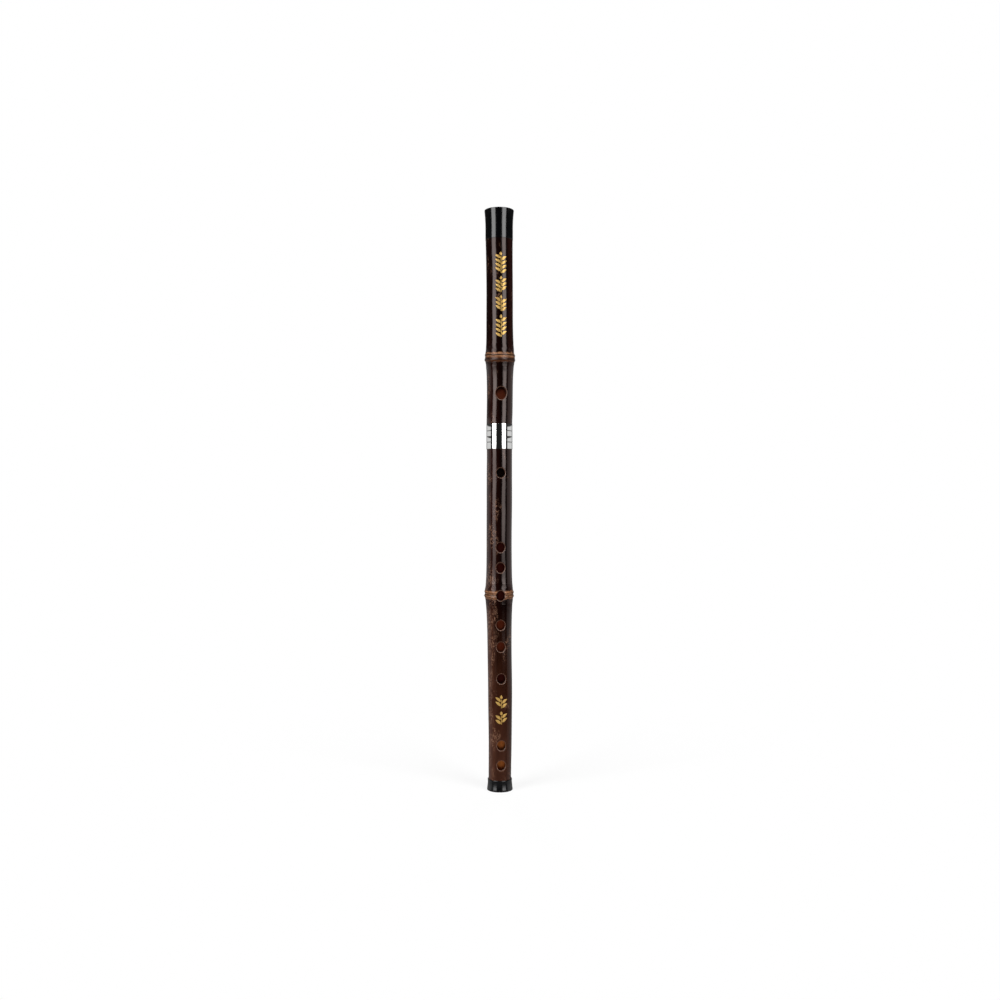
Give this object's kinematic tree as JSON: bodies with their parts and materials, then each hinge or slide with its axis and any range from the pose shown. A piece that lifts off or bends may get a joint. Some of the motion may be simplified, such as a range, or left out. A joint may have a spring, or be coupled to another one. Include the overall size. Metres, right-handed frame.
{
  "type": "bamboo flute",
  "caption": "Two-piece transverse bamboo flute with a metal tuning joint, oval finger holes and black end caps, standing on its open tail end.",
  "frame": {"origin": "centre of the open tail end's face, which the flute stands on", "axes": "+Z along the flute's axis from the tail to the head; the mouth hole, membrane hole and finger holes face -Y"},
  "size_m": [0.0276, 0.0276, 0.515],
  "materials": {
    "bamboo": "gloss",
    "nickel_silver": "polished",
    "black_cap": "gloss",
    "cork": "matte",
    "gold_fill": "satin"
  },
  "bodies": {
    "body_joint": {"body_tube": "bamboo", "body_ferrule": "nickel_silver", "socket_tube": "nickel_silver", "tail_cap": "black_cap", "body_motif_1": "gold_fill", "body_motif_2": "gold_fill"},
    "tenon": {"tenon_tube": "nickel_silver"},
    "head_joint": {"head_tube": "bamboo", "head_ferrule": "nickel_silver", "head_cap": "black_cap", "cork_stopper": "cork", "head_motif_1": "gold_fill", "head_motif_2": "gold_fill", "head_motif_3": "gold_fill", "head_motif_4": "gold_fill"}
  },
  "joints": [
    {"name": "tuning_slide", "type": "slide", "parent": "body_joint", "child": "tenon", "axis": [0, 0, 1], "range_m": [0, 0.03]},
    {"name": "head_turn", "type": "hinge", "parent": "tenon", "child": "head_joint", "pos_m": [0, 0, 0.33], "axis": [0, 0, 1], "continuous": true}
  ]
}
